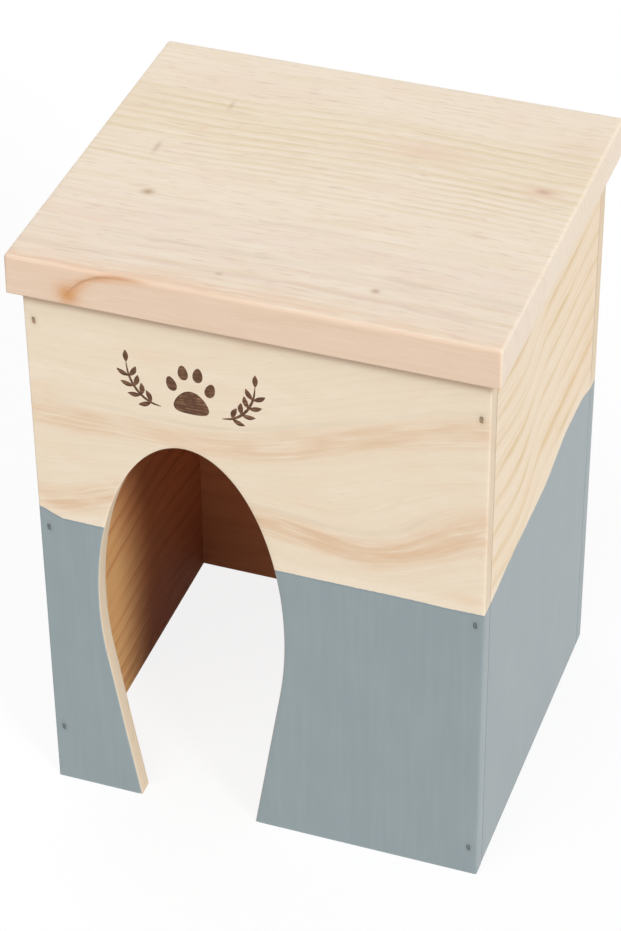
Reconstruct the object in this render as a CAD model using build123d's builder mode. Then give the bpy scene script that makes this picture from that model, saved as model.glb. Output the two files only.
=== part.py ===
from build123d import *
import os
from math import acos, atan2, degrees, hypot

# Wooden house for a small pet: four boards nailed into a box with no floor,
# an arched doorway in the front board, and a flat roof board that lifts off.
# Millimetres. X runs across the front, +Y towards the back, +Z up.
# The origin is on the ground, under the centre of the roof board.

# Driving dimensions: the box
body_width = 160.0  # across the front board
body_depth = 138.0  # outer face of the front board to outer face of the back board
wall_height = 216.0  # all four boards
front_thickness = 6.5
back_thickness = 6.5
side_thickness = 6.5
corner_ease = 0.6  # sanded upright corners of the front and back boards

# Driving dimensions: the doorway, an arch that narrows again towards the ground
doorway_from_left = 54.7  # left edge of the front board to the doorway's centre
arch_half_width = 34.2
arch_rise = 74.6  # widest level to the crown
widest_height = 88.7  # ground to the widest level
foot_width = 44.0  # opening at the ground
doorway_ease = 0.5  # sanded rim, both faces

# Driving dimensions: the roof board and the battens that keep it in place
roof_thickness = 15.0
overhang_front = 4.0
overhang_back = 4.0
overhang_side = 4.0
roof_top_round = 1.6
roof_corner_round = 1.2
roof_under_ease = 0.5
batten_width = 12.0
batten_height = 10.0
batten_side_gap = 1.0  # batten to side board
batten_end_gap = 1.5  # batten to front and back boards
batten_ease = 0.8

# Driving dimensions: the brads, cut from flat wire, each with a narrow T-shaped head
brad_length = 20.0
wire_thickness = 1.1
wire_width = 1.3
head_length = 2.6  # along the wire's width, upright in the walls
head_thickness = 0.6
head_sink = 0.25  # how far a head lies below the wood's face
tip_length = 1.5
brad_fit = 0.05  # gap all round a brad in its hole
tip_gap = 0.5  # air past the tip at the hole's end
low_brad_left = 24.8  # ground to the lowest brad of each corner
low_brad_right = 12.3
middle_brad_left = 117.4
middle_brad_right = 114.7
top_brad_left = 11.9  # highest brad below the top of the boards
top_brad_right = 16.0
batten_brad_from_end = 24.0

# Worked out from the driving dimensions
front_y = -body_depth / 2
back_y = body_depth / 2
inner_half_width = body_width / 2 - side_thickness
side_brad_x = body_width / 2 - side_thickness / 2
side_length = body_depth - front_thickness - back_thickness
side_middle_y = (front_thickness - back_thickness) / 2
doorway_x = doorway_from_left - body_width / 2
batten_length = side_length - 2 * batten_end_gap
batten_x = inner_half_width - batten_side_gap - batten_width / 2
batten_bottom = wall_height - batten_height
batten_brad_reach = batten_length / 2 - batten_brad_from_end
slot_thickness = wire_thickness + 2 * brad_fit
slot_depth = head_sink + brad_length + tip_gap
pocket_depth = head_sink + head_thickness + brad_fit

# Planes on the boards' faces, each with its normal pointing out of the wood
front_face = Plane(origin=(0, front_y, 0), x_dir=(1, 0, 0), z_dir=(0, -1, 0))
back_face = Plane(origin=(0, back_y, 0), x_dir=(-1, 0, 0), z_dir=(0, 1, 0))
side_front_end = front_face.offset(-front_thickness)
wall_top = Plane.XY.offset(wall_height)
batten_underside = Plane(origin=(0, 0, batten_bottom), x_dir=(1, 0, 0), z_dir=(0, 0, -1))

# Brads were driven by eye, so left and right corners differ
brad_heights_left = (low_brad_left, middle_brad_left, wall_height - top_brad_left)
brad_heights_right = (low_brad_right, middle_brad_right, wall_height - top_brad_right)
# Seen from behind, left and right change places
front_left_spots = [(-side_brad_x, height) for height in brad_heights_left]
front_right_spots = [(side_brad_x, height) for height in brad_heights_right]
back_left_spots = [(side_brad_x, height) for height in brad_heights_left]
back_right_spots = [(-side_brad_x, height) for height in brad_heights_right]
# Seen from below, front and back change places
left_batten_spots = [(-batten_x, s * batten_brad_reach - side_middle_y) for s in (-1, 1)]
right_batten_spots = [(batten_x, s * batten_brad_reach - side_middle_y) for s in (-1, 1)]

# Solids that hang down from a plane instead of straddling it
downwards = (Align.CENTER, Align.CENTER, Align.MAX)

# A line from the foot point touches the arch here, as an angle round the arch
# when its ellipse is drawn as a circle
foot_across = foot_width / 2 / arch_half_width
foot_down = -widest_height / arch_rise
touch_angle = degrees(atan2(foot_down, foot_across) + acos(1 / hypot(foot_across, foot_down)))


def on_doorway(edge):
    """True for the edges of the doorway's rim that lie in the board's two faces."""
    middle = edge.center()
    beside = abs(middle.X - doorway_x) <= arch_half_width + 0.01
    above_ground = 0.01 < middle.Z < wall_height - 0.01
    across_board = abs(edge.bounding_box().size.Y - front_thickness) < 0.01
    return beside and above_ground and not across_board


def upright_corner(edge, corner_y):
    """True for the two upright outer edges of a front or back board."""
    middle = edge.center()
    at_corner = abs(abs(middle.X) - body_width / 2) < 0.01
    return at_corner and abs(middle.Y - corner_y) < 0.01


def brads(face, spots):
    """A row of brads driven in from a face, with their heads just under it."""
    with BuildPart(face.offset(-head_sink)) as row:
        with Locations(*spots):
            add(one_brad.part)
    return row


def nail_holes(face, spots):
    """The wood that a row of brads takes up: slots with head pockets, from the outer face."""
    with BuildPart(face) as holes:
        with Locations(*spots):
            Box(slot_thickness, wire_width + 2 * brad_fit, slot_depth, align=downwards)
            Box(slot_thickness, head_length + 2 * brad_fit, pocket_depth, align=downwards)
    return holes.part


# One brad, head upwards at the origin and shank down, which every group repeats
with BuildPart() as one_brad:
    with BuildSketch(Plane.YZ):
        with BuildLine():
            Polyline(
                (0, 0),
                (head_length / 2, 0),
                (head_length / 2, -head_thickness),
                (wire_width / 2, -head_thickness),
                (wire_width / 2, tip_length - brad_length),
                (0, -brad_length),
            )
            mirror(about=Plane.YZ)
        make_face()
    extrude(amount=wire_thickness / 2, both=True)

# One set of holes for each face that is nailed, cut from every board it passes through
front_holes = nail_holes(front_face, front_left_spots + front_right_spots)
back_holes = nail_holes(back_face, back_left_spots + back_right_spots)
batten_holes = nail_holes(batten_underside, left_batten_spots + right_batten_spots)

# Front board with the doorway
with BuildPart() as front_wall:
    with BuildSketch(front_face):
        Rectangle(body_width, wall_height, align=(Align.CENTER, Align.MIN))
        with BuildLine():
            arch = EllipticalCenterArc(
                (doorway_x, widest_height),
                arch_half_width,
                arch_rise,
                start_angle=touch_angle,
                arc_size=180 - 2 * touch_angle,
            )
            Line(arch @ 0, (doorway_x + foot_width / 2, 0))
            Line((doorway_x + foot_width / 2, 0), (doorway_x - foot_width / 2, 0))
            Line((doorway_x - foot_width / 2, 0), arch @ 1)
        make_face(mode=Mode.SUBTRACT)
    extrude(amount=-front_thickness)
    chamfer(front_wall.edges().filter_by(on_doorway), doorway_ease)
    fillet(front_wall.edges().filter_by(lambda e: upright_corner(e, front_y)), corner_ease)
    add(front_holes, mode=Mode.SUBTRACT)
front_wall.part.label = "front_wall"

# Back board, plain
with BuildPart() as back_wall:
    with BuildSketch(back_face):
        Rectangle(body_width, wall_height, align=(Align.CENTER, Align.MIN))
    extrude(amount=-back_thickness)
    fillet(back_wall.edges().filter_by(lambda e: upright_corner(e, back_y)), corner_ease)
    add(back_holes, mode=Mode.SUBTRACT)
back_wall.part.label = "back_wall"


def side_board(board_x):
    """A side board between the front and back boards, bored in both ends for the brads."""
    with BuildPart() as board:
        with BuildSketch(side_front_end):
            with Locations((board_x, 0)):
                Rectangle(side_thickness, wall_height, align=(Align.CENTER, Align.MIN))
        extrude(amount=-side_length)
        add(front_holes, mode=Mode.SUBTRACT)
        add(back_holes, mode=Mode.SUBTRACT)
    return board


left_wall = side_board(-side_brad_x)
left_wall.part.label = "left_wall"
right_wall = side_board(side_brad_x)
right_wall.part.label = "right_wall"

# Brads of the box, a column of three in each corner
front_nails_left = brads(front_face, front_left_spots)
front_nails_left.part.label = "front_nails_left"
front_nails_right = brads(front_face, front_right_spots)
front_nails_right.part.label = "front_nails_right"
back_nails_left = brads(back_face, back_left_spots)
back_nails_left.part.label = "back_nails_left"
back_nails_right = brads(back_face, back_right_spots)
back_nails_right.part.label = "back_nails_right"

# Roof board, resting on the tops of all four boards
with BuildPart() as roof_board:
    with BuildSketch(wall_top):
        with Locations((0, (overhang_back - overhang_front) / 2)):
            Rectangle(
                body_width + 2 * overhang_side,
                body_depth + overhang_front + overhang_back,
            )
    extrude(amount=roof_thickness)
    fillet(roof_board.edges().filter_by(Axis.Z), roof_corner_round)
    fillet(roof_board.faces().sort_by(Axis.Z)[-1].edges(), roof_top_round)
    chamfer(roof_board.faces().sort_by(Axis.Z)[0].edges(), roof_under_ease)
    add(batten_holes, mode=Mode.SUBTRACT)
roof_board.part.label = "roof_board"


def batten(board_x):
    """A strip under the roof board that drops in beside a side board."""
    with BuildPart() as strip:
        with BuildSketch(Plane.XY.offset(batten_bottom)):
            with Locations((board_x, side_middle_y)):
                Rectangle(batten_width, batten_length)
        extrude(amount=batten_height)
        chamfer(strip.faces().sort_by(Axis.Z)[0].edges(), batten_ease)
        add(batten_holes, mode=Mode.SUBTRACT)
    return strip


roof_batten_left = batten(-batten_x)
roof_batten_left.part.label = "roof_batten_left"
roof_batten_right = batten(batten_x)
roof_batten_right.part.label = "roof_batten_right"

# Brads driven up through the battens into the roof board
batten_nails_left = brads(batten_underside, left_batten_spots)
batten_nails_left.part.label = "batten_nails_left"
batten_nails_right = brads(batten_underside, right_batten_spots)
batten_nails_right.part.label = "batten_nails_right"

pieces = [
    front_wall,
    back_wall,
    left_wall,
    right_wall,
    front_nails_left,
    front_nails_right,
    back_nails_left,
    back_nails_right,
    roof_board,
    roof_batten_left,
    roof_batten_right,
    batten_nails_left,
    batten_nails_right,
]
os.makedirs("parts", exist_ok=True)
for piece in pieces:
    export_step(piece.part, f"parts/{piece.part.label}.step")
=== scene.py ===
from math import cos, pi, radians, sin

import bmesh
import bpy
import numpy as np
from mathutils import Matrix, Vector


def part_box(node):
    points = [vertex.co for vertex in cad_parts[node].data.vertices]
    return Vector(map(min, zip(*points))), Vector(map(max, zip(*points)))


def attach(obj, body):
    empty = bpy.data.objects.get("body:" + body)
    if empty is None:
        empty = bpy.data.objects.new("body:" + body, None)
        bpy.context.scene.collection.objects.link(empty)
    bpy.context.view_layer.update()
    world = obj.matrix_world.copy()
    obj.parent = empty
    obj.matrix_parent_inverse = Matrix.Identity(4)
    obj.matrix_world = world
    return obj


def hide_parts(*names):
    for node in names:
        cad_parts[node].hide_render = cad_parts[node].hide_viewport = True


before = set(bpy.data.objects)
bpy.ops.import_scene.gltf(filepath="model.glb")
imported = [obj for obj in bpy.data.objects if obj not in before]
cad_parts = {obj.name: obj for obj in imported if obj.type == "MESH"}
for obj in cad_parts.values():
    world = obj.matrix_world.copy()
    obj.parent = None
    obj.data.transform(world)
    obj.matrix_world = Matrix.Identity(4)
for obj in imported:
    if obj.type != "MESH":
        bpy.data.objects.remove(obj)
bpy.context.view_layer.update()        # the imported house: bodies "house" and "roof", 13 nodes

# Looks of a wooden house for a small pet: bare pine above, blue-grey paint below.
# Everything below is worked out in millimetres and put into the meshes in metres.
mm = 0.001


def millimetres(node):
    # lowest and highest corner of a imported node
    low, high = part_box(node)
    return np.array(low) / mm, np.array(high) / mm


def colour(red, green, blue):
    # a screen colour from 0 to 255 as the linear values that shaders work in
    share = np.array([red, green, blue]) / 255
    linear = np.where(share <= 0.04045, share / 12.92, ((share + 0.055) / 1.055) ** 2.4)
    return tuple(float(value) for value in linear) + (1.0,)


def newThing(name, data):
    thing = bpy.data.objects.new(name, data)
    bpy.context.scene.collection.objects.link(thing)
    return thing


plainWhite = (1.0, 1.0, 1.0, 1.0)

# Camera and studio
cameraView = {
    "place": (293.6, -833.3, 791.2),  # from the ground under the roof's centre
    "turn": 19.744,  # degrees round the upright axis
    "tilt": 52.485,  # degrees up from looking straight down
    "roll": -0.611,  # degrees round the line of sight
    "lens": 121.09,  # on a 36 mm sensor
}

studio = {
    "sky": 0.42,  # strength of the even light from all round
    "floorColour": colour(188, 186, 184),  # in the light that the floor sends back up
    "floorGlow": 0.86,  # share of plain white that the camera sees in the floor
    "floorSize": 8000,
    "farthest": 100,  # metres that the camera sees
    "lamps": {  # reach is the brightness that a lamp alone gives a white sheet turned to it
        "rightLamp": {"from": (0.76, -0.56, 0.36), "reach": 0.65, "softness": 15},
        "frontLamp": {"from": (-0.1, -0.55, 0.83), "reach": 0.33, "softness": 40},
        "backLamp": {"from": (-0.66, 0.72, 0.2), "reach": 0.4, "softness": 50},
    },
}


def operator(name, reflected=False):
    # a method that puts a wire and another value through one Math node
    def apply(self, other):
        return self.math(name, other, self) if reflected else self.math(name, self, other)

    return apply


class Wire:
    # one value on its way through a shader, so that maths on it reads as plain arithmetic
    def __init__(self, recipe, socket):
        self.recipe = recipe
        self.socket = socket

    def math(self, operation, first, second=0.0):
        return self.recipe.make("ShaderNodeMath", {"operation": operation}, {0: first, 1: second})

    __add__, __radd__ = operator("ADD"), operator("ADD", True)
    __sub__, __rsub__ = operator("SUBTRACT"), operator("SUBTRACT", True)
    __mul__, __rmul__ = operator("MULTIPLY"), operator("MULTIPLY", True)
    __truediv__, __pow__ = operator("DIVIDE"), operator("POWER")
    least, most = operator("MINIMUM"), operator("MAXIMUM")

    def __abs__(self):
        return self.math("ABSOLUTE", self)

    def fraction(self):
        return self.math("FRACT", self)

    def output(self, name):
        # another output of the same node
        return Wire(self.recipe, self.socket.node.outputs[name])

    def ease(self, low, high):
        # 0 below low, 1 above high, smooth between
        return self.recipe.make(
            "ShaderNodeMapRange",
            {"interpolation_type": "SMOOTHSTEP"},
            {"Value": self, "From Min": low, "From Max": high},
        )

    def between(self, low, high, fading, gone):
        # 0 below low, 1 from high to fading, 0 above gone
        return self.ease(low, high) * (1 - self.ease(fading, gone))

    def hump(self, centre, width):
        # a bell: exp(-((value - centre) / width) ** 2)
        offset = (self - centre) / width
        return self.math("EXPONENT", 0 - offset * offset)


class Recipe:
    # the nodes of one material or world
    def __init__(self, tree):
        self.tree = tree
        tree.nodes.clear()

    def make(self, kind, settings=None, inputs=None, output=0):
        # one node: its settings first, then a value or a wire for each socket
        node = self.tree.nodes.new(kind)
        for name, value in (settings or {}).items():
            setattr(node, name, value)
        for name, value in (inputs or {}).items():
            if isinstance(value, Wire):
                self.tree.links.new(value.socket, node.inputs[name])
            else:
                node.inputs[name].default_value = value
        return Wire(self, node.outputs[output]) if len(node.outputs) else None

    def mix(self, share, first, second):
        # from the first colour to the second
        return self.make("ShaderNodeMix", {"data_type": "RGBA"}, {0: share, 6: first, 7: second}, 2)

    def cloud(self, x, y, z, detail=2.0, seed=0.0):
        # noise about zero, mostly within a quarter either way; one unit is one blotch
        point = self.make("ShaderNodeCombineXYZ", {}, {0: x + seed, 1: y, 2: z})
        noise = self.make("ShaderNodeTexNoise", {}, {"Vector": point, "Scale": 1.0, "Detail": detail})
        return noise - 0.5

    def place(self):
        # the object's own x, y and z in millimetres
        point = self.make("ShaderNodeTexCoord", output="Object")
        point = self.make("ShaderNodeVectorMath", {"operation": "SCALE"}, {0: point, "Scale": 1 / mm})
        split = self.make("ShaderNodeSeparateXYZ", {}, {0: point})
        return [split.output(name) for name in "XYZ"]

    def attribute(self, name):
        return self.make("ShaderNodeAttribute", {"attribute_name": name}, {}, "Fac")

    def surface(self, shader):
        self.make("ShaderNodeOutputMaterial", {}, {"Surface": shader})

    def finish(self, tone, roughness, height, others):
        # the material's one shader; height is the surface's relief in millimetres
        sockets = {"Strength": 1.0, "Distance": mm, "Height": height}
        normal = self.make("ShaderNodeBump", {}, sockets)
        values = {"Base Color": tone, "Roughness": roughness, "Normal": normal}
        self.surface(self.make("ShaderNodeBsdfPrincipled", {}, values | others))


def newMaterial(name):
    material = bpy.data.materials.new(name)
    material.use_nodes = True
    return material, Recipe(material.node_tree)


def seenRay(recipe):
    # 1 for rays that show the picture: straight, mirrored or through glass
    path = recipe.make("ShaderNodeLightPath")
    seen = path.output("Is Camera Ray") + path.output("Is Glossy Ray")
    return (seen + path.output("Is Transmission Ray")).least(1.0)


def buildStudio():
    scene = bpy.context.scene
    scene.view_settings.view_transform = "Standard"
    camera = newThing("camera", bpy.data.cameras.new("camera"))
    turn = Matrix.Rotation(radians(cameraView["turn"]), 4, "Z")
    tilt = Matrix.Rotation(radians(cameraView["tilt"]), 4, "X")
    roll = Matrix.Rotation(radians(cameraView["roll"]), 4, "Z")
    place = Matrix.Translation(np.array(cameraView["place"]) * mm)
    camera.matrix_world = place @ turn @ tilt @ roll
    camera.data.lens = cameraView["lens"]
    camera.data.clip_end = studio["farthest"]
    scene.camera = camera

    # Even light from all round, plain white where the camera looks past the floor
    world = bpy.data.worlds.new("studio")
    world.use_nodes = True
    scene.world = world
    recipe = Recipe(world.node_tree)
    lit = recipe.make("ShaderNodeBackground", {}, {"Color": plainWhite, "Strength": studio["sky"]})
    white = recipe.make("ShaderNodeBackground", {}, {"Color": plainWhite, "Strength": 1.0})
    both = recipe.make("ShaderNodeMixShader", {}, {0: seenRay(recipe), 1: lit, 2: white})
    recipe.make("ShaderNodeOutputWorld", {}, {"Surface": both})

    # Soft lamps so far away that they light the whole floor evenly
    for name, lamp in studio["lamps"].items():
        light = bpy.data.lights.new(name, "SUN")
        light.energy = lamp["reach"] * pi
        light.angle = radians(lamp["softness"])
        turn = Vector(lamp["from"]).to_track_quat("Z", "Y")
        newThing(name, light).matrix_world = turn.to_matrix().to_4x4()

    half = studio["floorSize"] / 2 * mm
    mesh = bpy.data.meshes.new("floor")
    corners = [(-half, -half, 0), (half, -half, 0), (half, half, 0), (-half, half, 0)]
    mesh.from_pydata(corners, [], [(0, 1, 2, 3)])
    floor = newThing("floor", mesh)
    material, recipe = newMaterial("floorSweep")
    sheet = recipe.mix(seenRay(recipe), studio["floorColour"], plainWhite)
    paper = recipe.make("ShaderNodeBsdfDiffuse", {}, {"Color": sheet})
    doorLight = recipe.make("ShaderNodeEmission", {}, {"Color": plainWhite, "Strength": 1.0})
    share = seenRay(recipe) * studio["floorGlow"]
    recipe.surface(recipe.make("ShaderNodeMixShader", {}, {0: share, 1: paper, 2: doorLight}))
    mesh.materials.append(material)


buildStudio()
print("studio: camera, three lamps and a pale floor")


# Boards. Each is a box whose edges are sanded round, a little unevenly.
boards = {
    "pitch": 1.6,  # between grid lines on a face
    "ease": 0.45,  # radius of a sanded edge
    "roofTopEase": 1.5,
    "roofCornerEase": 1.2,
    "waver": 0.3,  # share by which the sanding varies
    "bradGap": 5.0,  # least distance between two brads in a column
    "pocketFit": 0.12,  # air round a brad's head
    "pocketDepth": 0.75,
    "pocketReach": 2.0,  # how far a pocket's cutter stands out of the wood
    "pocketPoints": 20,
    "sideReach": 0.6,  # an outer face and its rounded edges lie this near its plane
    "sideTurn": 0.05,  # how far a point must look outwards to count as outer
    "sideTurnFirm": 0.45,  # the same where an outer face ends at the start of its rounding
    "sideSharp": 4,  # the higher, the sooner it then counts in full
    "creaseAngle": 32,  # degrees from which an edge is drawn sharp
}


def waver(points, seed):
    # slow unevenness from -1 to 1: one sum of sines times another, all at odd pitches
    x, y, z = (points / 10).T
    first = np.sin(1.31 * x + 2.1 * seed) + np.sin(1.07 * y + 1.3 * seed) + np.sin(0.93 * z + seed)
    second = np.sin(0.37 * x + 0.41 * z + 0.7 * seed) + np.sin(0.53 * y - 0.29 * z + 1.9 * seed)
    return first * second / 6


def gridSteps(low, high, ease):
    # grid lines across a board: close together where its edges round over, then even
    rim = ease * np.array([0.0, 0.25, 0.5, 0.75])
    count = max(2, round((high - low - 2 * ease) / boards["pitch"]) + 1)
    middle = np.linspace(low + ease, high - ease, count)
    return np.concatenate([low + rim, middle, high - rim[::-1]])


def gridQuads(number):
    # one face between each four neighbouring points of a grid
    corners = [number[:-1, :-1], number[1:, :-1], number[1:, 1:], number[:-1, 1:]]
    return np.stack(corners, -1).reshape(-1, 4)


def boardSurface(low, high, easeAt):
    # Six grids on the sides of a box. Each point p goes to c + r q / |q|, where c is p clamped into
    # the box less its ease r, and q is (p - c) / r. Flats stay flat and edges become quarter rounds.
    corners = np.array([low, high])
    widest = easeAt(corners).max(0)
    steps = [gridSteps(low[k], high[k], widest[k]) for k in range(3)]
    points, quads, count = [], [], 0
    for axis, side in ((axis, side) for axis in range(3) for side in (0, 1)):
        u, v = [k for k in range(3) if k != axis]
        gridU, gridV = np.meshgrid(steps[u], steps[v], indexing="ij")
        face = np.empty(gridU.shape + (3,))
        face[..., u] = gridU
        face[..., v] = gridV
        face[..., axis] = corners[side][axis]
        faces = gridQuads(count + np.arange(gridU.size).reshape(gridU.shape))
        quads.append(faces[:, ::-1] if (side == 0) != (axis == 1) else faces)
        points.append(face.reshape(-1, 3))
        count += gridU.size
    points = np.concatenate(points)
    ease = easeAt(points)
    core = np.clip(points, low + ease, high - ease)
    reach = (points - core) / ease
    rounded = core + ease * reach / np.linalg.norm(reach, axis=1, keepdims=True)
    return rounded, np.concatenate(quads)


def meshFrom(name, points, quads):
    # joins points that lie on each other, then writes the mesh in metres
    keys = np.round(points * 1e4).astype(np.int64)
    first, slots = np.unique(keys, axis=0, return_index=True, return_inverse=True)[1:]
    mesh = bpy.data.meshes.new(name)
    mesh.from_pydata(points[first] * mm, [], slots.reshape(-1)[quads].tolist())
    mesh.validate()
    return newThing(name, mesh)


def closeShell(mesh):
    # one flat face over each open end, and every face turned outwards
    shell = bmesh.new()
    shell.from_mesh(mesh)
    bmesh.ops.holes_fill(shell, edges=[edge for edge in shell.edges if edge.is_boundary])
    bmesh.ops.recalc_face_normals(shell, faces=shell.faces)
    shell.to_mesh(mesh)
    shell.free()


def vertexValues(thing):
    # places in millimetres and outward normals of a mesh's points
    count = len(thing.data.vertices)
    points, normals = np.empty(count * 3, np.float32), np.empty(count * 3, np.float32)
    thing.data.vertices.foreach_get("co", points)
    thing.data.vertex_normals.foreach_get("vector", normals)
    return points.reshape(-1, 3).astype(float) / mm, normals.reshape(-1, 3)


def bradBoxes(node, column):
    # the low and high corner of each brad in a node, told apart by the gaps along their column
    points = vertexValues(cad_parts[node])[0]
    points = points[np.argsort(points[:, column])]
    breaks = np.where(np.diff(points[:, column]) > boards["bradGap"])[0] + 1
    return [(group.min(0), group.max(0)) for group in np.split(points, breaks)]


def sinkBrads(thing, nodes, column, outwards):
    # Cuts a pocket for each brad's head: the rounded outline |a|^4 + |b|^4 = 1 round it, open outwards.
    axis = int(np.argmax(np.abs(outwards)))
    u, v = [k for k in range(3) if k != axis]
    angle = np.linspace(0, 2 * pi, boards["pocketPoints"], endpoint=False)
    across = np.sign(np.cos(angle)) * np.sqrt(np.abs(np.cos(angle)))
    upright = np.sign(np.sin(angle)) * np.sqrt(np.abs(np.sin(angle)))
    points, faces = [], []
    for low, high in [box for node in nodes for box in bradBoxes(node, column)]:
        middle, half = (low + high) / 2, (high - low) / 2 + boards["pocketFit"]
        head = high[axis] if outwards[axis] > 0 else low[axis]
        for depth in (-boards["pocketDepth"], boards["pocketReach"]):
            ring = np.empty((len(angle), 3))
            ring[:, u], ring[:, v] = middle[u] + half[u] * across, middle[v] + half[v] * upright
            ring[:, axis] = head + outwards[axis] * depth
            points.append(ring)
        first = np.arange(len(angle)) + len(angle) * (len(points) - 2)
        second, after = first + len(angle), np.roll(first, -1)
        faces += [first[::-1].tolist(), second.tolist()]
        faces += np.stack([first, after, after + len(angle), second], 1).tolist()
    mesh = bpy.data.meshes.new("pockets")
    mesh.from_pydata(np.concatenate(points) * mm, [], faces)
    closeShell(mesh)
    cutter = newThing("pockets", mesh)
    cut = thing.modifiers.new("pockets", "BOOLEAN")
    cut.operation = "DIFFERENCE"
    cut.solver = "EXACT"
    cut.object = cutter
    bpy.context.view_layer.update()
    evaluated = thing.evaluated_get(bpy.context.evaluated_depsgraph_get())
    solid = bpy.data.meshes.new_from_object(evaluated)
    thing.modifiers.remove(cut)
    thing.data = solid
    bpy.data.objects.remove(cutter)


def keepValue(thing, name, values):
    attribute = thing.data.attributes.new(name, "FLOAT", "POINT")
    attribute.data.foreach_set("value", values.astype(np.float32))


def edgeGaps(points, low, high):
    # distance to the nearest edge of the box: the second smallest distance to its sides
    gaps = np.minimum(points - low, high - points)
    return np.sort(gaps, axis=1)[:, 1]


def finishBoard(thing, body, node, material, outwards, rimGap=None):
    # faceSide is 1 on the outer faces and their rounded edges, which paint covers, and -1 on the inside
    # face away from them. Beside a doorway, whose distance is rimGap, 1 ends where the rounding starts.
    points, normals = vertexValues(thing)
    low, high = millimetres(node)
    gaps, start = edgeGaps(points, low, high), boards["sideTurn"]
    if rimGap is not None:
        depth = np.minimum(points[:, 1] - low[1], high[1] - points[:, 1])
        gaps = np.minimum(gaps, np.hypot(rimGap, depth))
        start = np.where(rimGap < doorway["bareReach"], boards["sideTurnFirm"], start)

    def looking(way, least):
        # how surely a point looks one way, from 0 to 1
        return np.clip((normals @ np.array(way) - least) * boards["sideSharp"], 0, 1)

    side, nearAny = np.zeros(len(points)), np.zeros(len(points), bool)
    for way in outwards:
        axis = int(np.argmax(np.abs(way)))
        plane = high[axis] if way[axis] > 0 else low[axis]
        near = np.abs(points[:, axis] - plane) < boards["sideReach"]
        nearAny |= near
        side = np.maximum(side, near * looking(way, start))
    if body == "house":
        side -= ~nearAny * looking(-np.array(outwards[0]), boards["sideTurnFirm"])
    keepValue(thing, "faceSide", side)
    keepValue(thing, "edgeGap", gaps)
    thing.data.shade_smooth()
    thing.data.set_sharp_from_angle(angle=radians(boards["creaseAngle"]))
    thing.data.materials.clear()
    thing.data.materials.append(material)
    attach(thing, body)
    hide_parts(node)


def evenEase(points, low, high, seed):
    # much the same along every edge: ease * (1 + waver)
    return np.full(3, boards["ease"]) * (1 + boards["waver"] * waver(points, seed))[:, None]


def plainBoard(node, seed, ease=evenEase):
    # a board with six sides, the same box as its node
    low, high = millimetres(node)
    surface = boardSurface(low, high, lambda points: ease(points, low, high, seed))
    return meshFrom(node + "_wood", *surface)


# Pine. A look says for one board:
#   axes: along the grain, across it where rings are counted, and through the board
#   rises: start, end and height of each smooth rise of the rings; lowRises: the same low on the board
#   rings: pitch, offset, strength, where in the pitch late wood starts and is full, and perhaps a zone
#   bands: level, half width, strength and colour of a broad ring, and perhaps a stretch along the board
#   zone and stretch: where it starts, is full, starts to fade and is gone
#   spots, pales and knots: place along and across, half length, half width and strength
palette = {
    "paint": colour(143, 155, 159),
    "paintDark": colour(118, 130, 136),
    "paintWorn": colour(164, 175, 177),
    "resin": colour(206, 170, 130),
    "endGrain": colour(226, 206, 180),
    # painted shade on the inside faces
    "insideShade": colour(226, 144, 84),
    "insideShadeLate": colour(190, 108, 56),
    "insideLowShade": colour(158, 70, 22),
    # painted shade in the seams and under the roof
    "paintedShade": colour(150, 110, 82),
    # painted light where daylight comes in through the doorway
    "doorLightTone": colour(223, 170, 103),
    "knot": colour(166, 122, 88),
    "sunned": colour(244, 232, 214),
    "cutEdge": colour(242, 225, 198),
    # darker wood round a brad: crushed fibres and painted shade in the dent
    "dentAndShade": colour(96, 84, 74),
}
pink, grey = colour(222, 190, 158), colour(214, 205, 186)

frontWood = {
    "axes": (0, 2, 1),
    "face": -69.0,  # the outer face, where levels are counted
    "seed": 3.0,
    "early": colour(235, 219, 196),
    "late": colour(225, 204, 174),
    "blush": colour(231, 205, 176),
    "rises": [(-25, 95, 30.5)],
    "lowRises": [(-80, -35, 12), (0, 34, -4.5), (36, 92, 17)],
    "blend": (138, 172),  # heights where one flow turns into the other
    "slant": 1.4,  # rings' slope through the board
    "wander": 1.6,
    "bend": 0.03,  # how far the rings curve through the board
    "rings": [(9.0, 2.0, 0.16, 0.5, 0.92)],
    "bands": [
        (166.5, 6.0, 0.72, pink),
        (164.0, 2.2, 0.4, pink, -25, 0, 40, 75),
        (169.2, 2.0, 0.4, pink, 15, 45, 90, 110),
        (174.0, 0.9, 0.35, grey),
        (129.0, 6.2, 1.0, pink),
        (126.2, 2.2, 0.4, pink, -10, 10, 90, 110),
        (136.0, 0.9, 0.4, grey, -20, 5, 60, 80),
    ],
    "flecks": (0.3, colour(222, 203, 175)),  # share and colour of the short streaks
    "spots": [(74.0, 124.5, 6.0, 2.8, 0.7), (-25.0, 166.5, 26.0, 2.6, 0.35)],
    "paintLevel": 126.0,  # at the left edge; the four boards' lines meet at the corners
    "paintRises": [(-81, -70, -3.6), (-40, 0, -2.4)],
    "shine": 0.3,
    "insideShade": 0.9,  # share of the inside face's painted shade
    "insideLowShade": 0.45,  # how much deeper that painted shade gets towards the ground
    "joint": ("deep", 6.5),  # where the next board begins
    "roofShadow": 213.0,  # height of the shadow line painted under the roof
}

backWood = dict(
    frontWood,
    face=69.0,
    seed=11.0,
    rises=[(-80, 20, 18), (10, 90, -14)],
    lowRises=[(-80, 20, 10), (10, 90, -6)],
    rings=[(12.0, 5.0, 0.3, 0.4, 0.9)],
    bands=[
        (190.0, 3.4, 0.7, pink),
        (194.5, 0.8, 0.5, grey),
        (150.0, 3.0, 0.6, pink),
    ],
    knots=[(34.0, 168.0, 2.4, 1.7, 0.8)],
    spots=[],
    paintLevel=121.5,
    paintRises=[(-50, -10, 3.0), (20, 70, -2.3)],
)

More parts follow.
